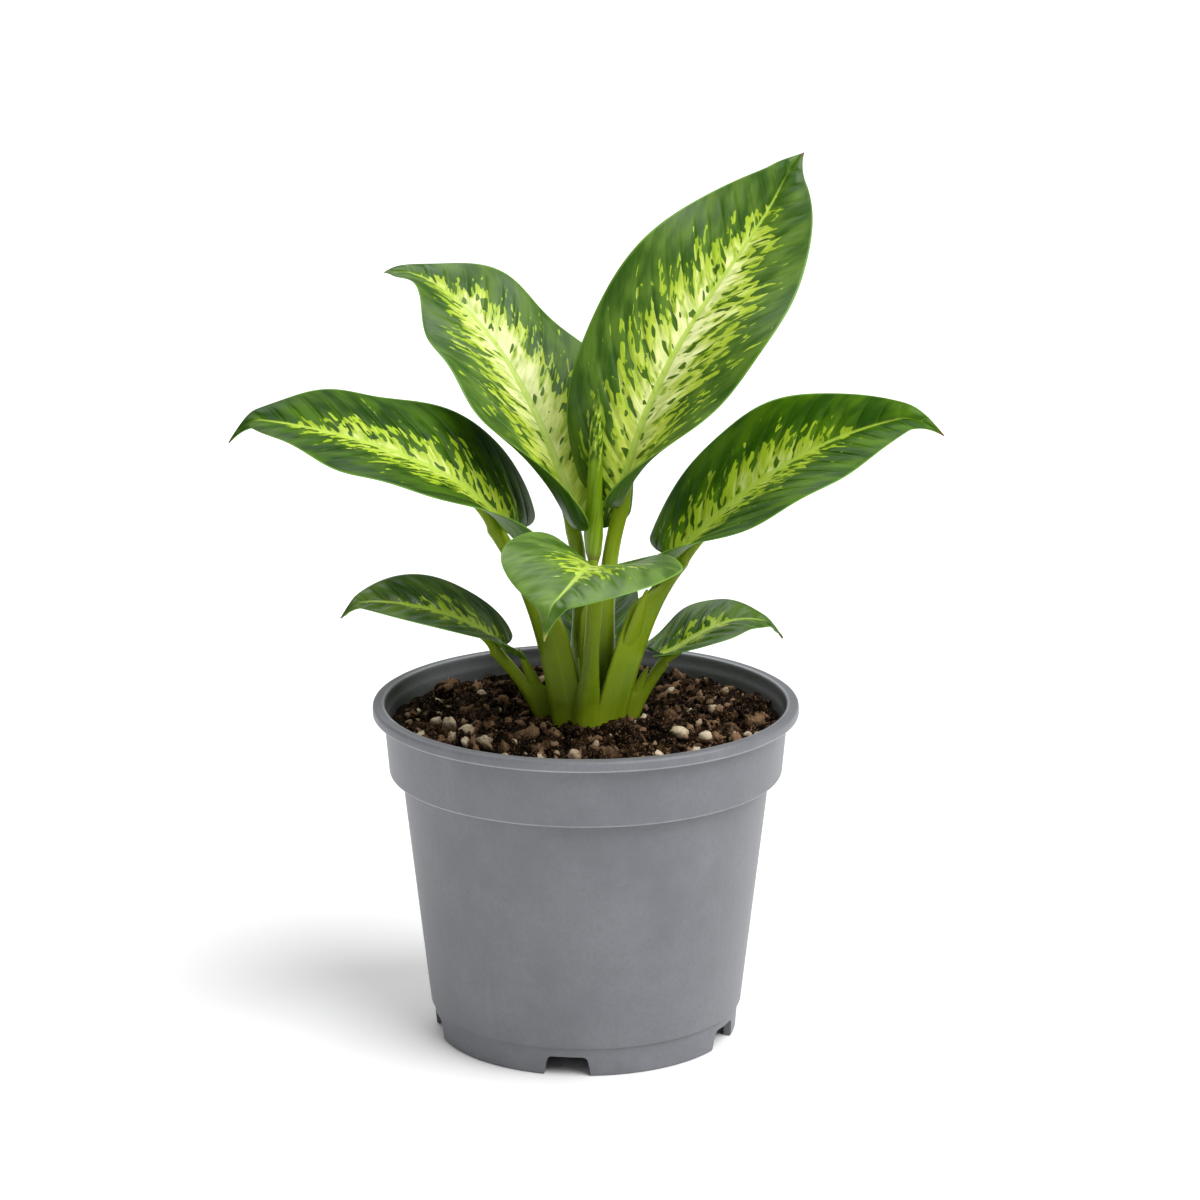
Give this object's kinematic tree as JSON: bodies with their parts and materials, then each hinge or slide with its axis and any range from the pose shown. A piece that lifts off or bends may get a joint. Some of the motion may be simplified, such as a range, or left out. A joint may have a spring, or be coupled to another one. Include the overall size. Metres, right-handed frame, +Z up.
{
  "type": "potted dieffenbachia",
  "caption": "Young dieffenbachia with broad cream-centred leaves on sheathed stalks, growing in a tapered round nursery pot with a deep band and a notched foot ring.",
  "frame": {"origin": "on the pot's axis, level with the underside of the foot ring it stands on", "axes": "+Z up, +X to the right as seen from the front, -Y towards the front, where the smallest upper leaf points"},
  "size_m": [0.1995, 0.1352, 0.2453],
  "materials": {
    "pot": "matte moulded grey plastic",
    "soil": null,
    "stalks": "smooth yellow-green stalk with a soft sheen",
    "blades": "semi-gloss leaf, dark green round a mottled cream-green centre"
  },
  "bodies": {
    "root": {"pot": "pot", "soil": "soil", "stalks": "stalks", "rolled_leaf": "stalks", "blade_upper_right": "blades", "blade_upper_left": "blades", "blade_mid_left": "blades", "blade_mid_right": "blades", "blade_front": "blades", "blade_lower_left": "blades", "blade_lower_right": "blades", "blade_back": "blades"}
  },
  "joints": []
}
